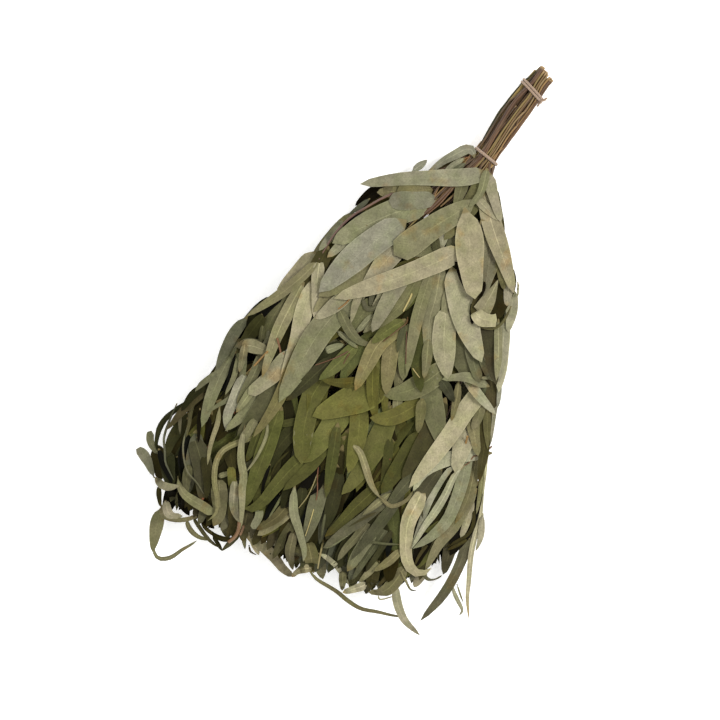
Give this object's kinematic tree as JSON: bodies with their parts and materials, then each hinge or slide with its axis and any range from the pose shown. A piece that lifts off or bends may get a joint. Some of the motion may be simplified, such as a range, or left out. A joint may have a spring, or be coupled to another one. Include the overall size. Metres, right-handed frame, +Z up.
{
  "type": "eucalyptus sauna whisk",
  "caption": "Bunch of dried leafy eucalyptus branches tied with twine into a handle, lying flat, for patting the skin in a sauna.",
  "frame": {"origin": "middle of the footprint of the whisk as it lies, on the surface that it lies on", "axes": "+X from the handle's cut end to the leaf tips, +Y across the whisk, +Z up from the surface"},
  "size_m": [0.5936, 0.3634, 0.0837],
  "materials": {
    "stem_wood": "matte",
    "leaf": "satin",
    "twine": "matte"
  },
  "bodies": {
    "root": {"stem_01": "stem_wood", "stem_02": "stem_wood", "stem_03": "stem_wood", "stem_04": "stem_wood", "stem_05": "stem_wood", "stem_06": "stem_wood", "stem_07": "stem_wood", "stem_08": "stem_wood", "stem_09": "stem_wood", "stem_10": "stem_wood", "stem_11": "stem_wood", "stem_12": "stem_wood", "stem_13": "stem_wood", "stem_14": "stem_wood", "stem_15": "stem_wood", "stem_16": "stem_wood", "stem_17": "stem_wood", "stem_18": "stem_wood", "stem_19": "stem_wood", "leafy_shoot_01": "leaf", "leafy_shoot_02": "leaf", "leafy_shoot_03": "leaf", "leafy_shoot_04": "leaf", "leafy_shoot_05": "leaf", "leafy_shoot_06": "leaf", "leafy_shoot_07": "leaf", "leafy_shoot_08": "leaf", "leafy_shoot_09": "leaf", "leafy_shoot_10": "leaf", "leafy_shoot_11": "leaf", "leafy_shoot_12": "leaf", "leafy_shoot_13": "leaf", "leafy_shoot_14": "leaf", "leafy_shoot_15": "leaf", "leafy_shoot_16": "leaf", "leafy_shoot_17": "leaf", "leafy_shoot_18": "leaf", "leafy_shoot_19": "leaf", "leafy_shoot_20": "leaf", "leafy_shoot_21": "leaf", "leafy_shoot_22": "leaf", "leafy_shoot_23": "leaf", "leafy_shoot_24": "leaf", "leafy_shoot_25": "leaf", "leafy_shoot_26": "leaf", "leafy_shoot_27": "leaf", "leafy_shoot_28": "leaf", "leafy_shoot_29": "leaf", "leafy_shoot_30": "leaf", "neck_leaf_long": "leaf", "neck_leaf_right": "leaf", "neck_leaf_tan": "leaf", "neck_leaf_left": "leaf", "neck_leaf_centre": "leaf", "neck_leaf_bright": "leaf", "handle_leaf": "leaf", "upper_tie": "twine", "lower_tie": "twine"}
  },
  "joints": []
}
